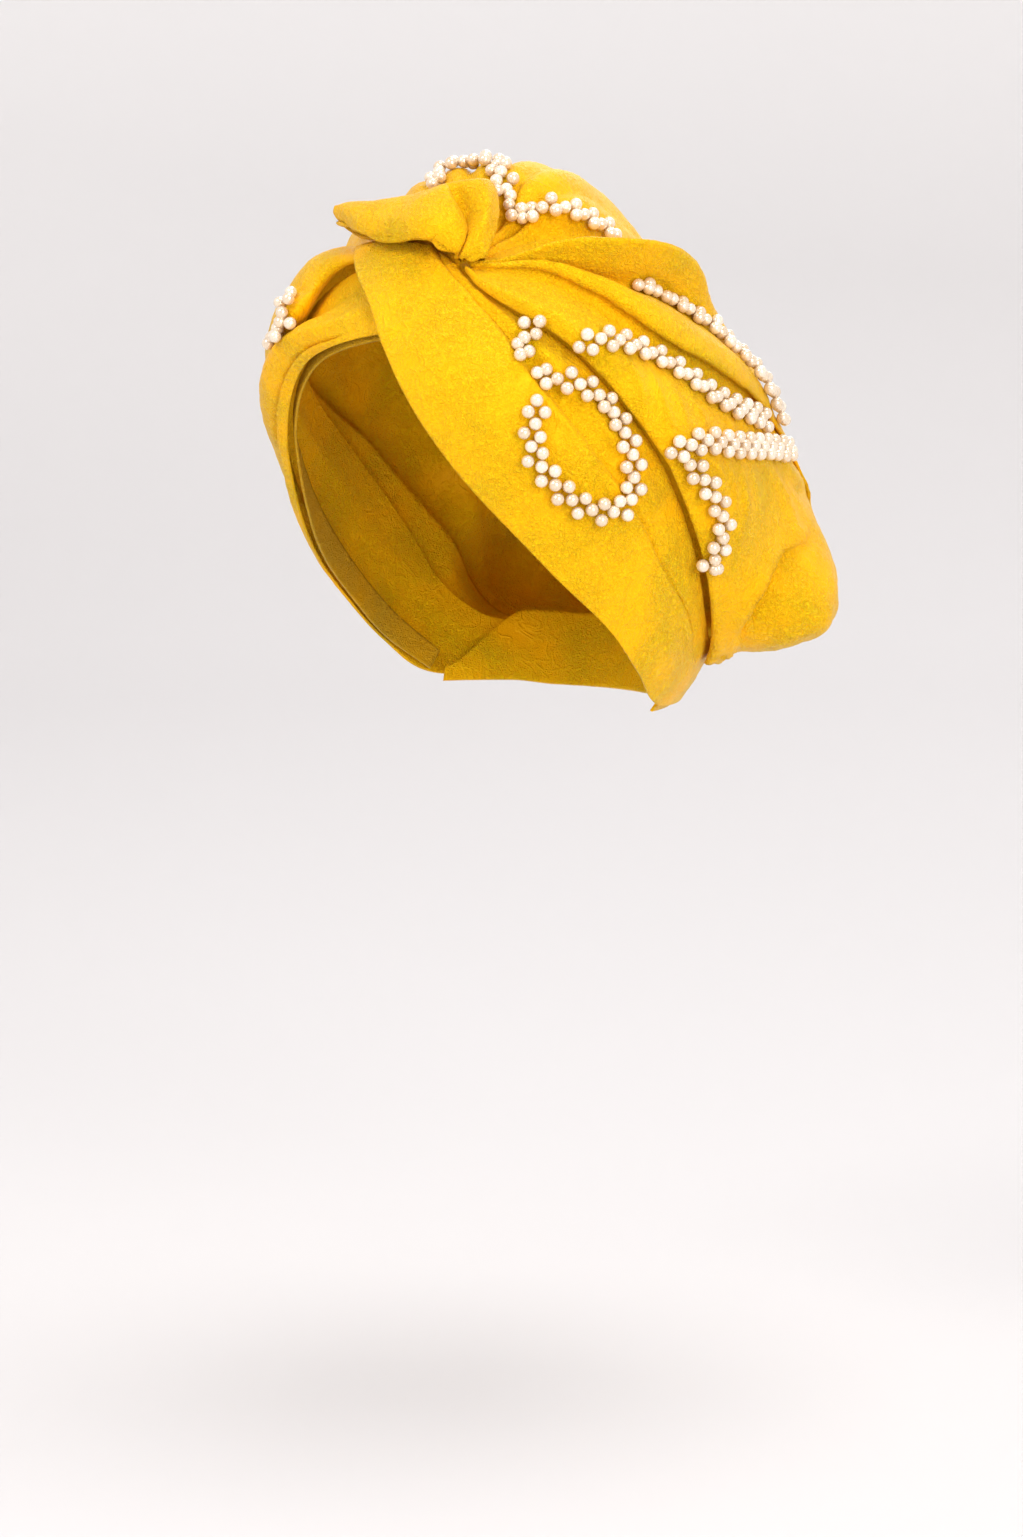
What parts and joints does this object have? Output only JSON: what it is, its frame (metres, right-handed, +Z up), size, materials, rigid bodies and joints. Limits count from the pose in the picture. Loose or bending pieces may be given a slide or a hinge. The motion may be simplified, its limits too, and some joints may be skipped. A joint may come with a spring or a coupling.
{
  "type": "turban head wrap",
  "caption": "Pre-tied turban of pleated yellow satin with a front knot, a loose pouch at the back and woven strands of imitation pearls.",
  "frame": {"origin": "middle of the head that the turban sits on, at the level of the temples", "axes": "+Z up out of the top of the head, -Y the way the face looks, +X the wearer's left"},
  "size_m": [0.188, 0.2036, 0.196],
  "materials": {
    "satin": "crushed satin with a fine embossed grain and a soft sheen",
    "hem": "same satin folded inside the opening, matt",
    "pearls": "glossy pearl coating on plastic beads"
  },
  "bodies": {
    "root": {"crown": "satin", "left_band": "satin", "right_band": "satin", "inner_band": "hem", "nape_band": "satin", "knot_loop": "satin", "knot_wrap": "satin", "pearls_teardrop": "pearls", "pearls_short": "pearls", "pearls_arc": "pearls", "pearls_side": "pearls", "pearls_drop": "pearls", "pearls_ridge": "pearls", "pearls_top": "pearls", "pearls_far": "pearls"}
  },
  "joints": []
}
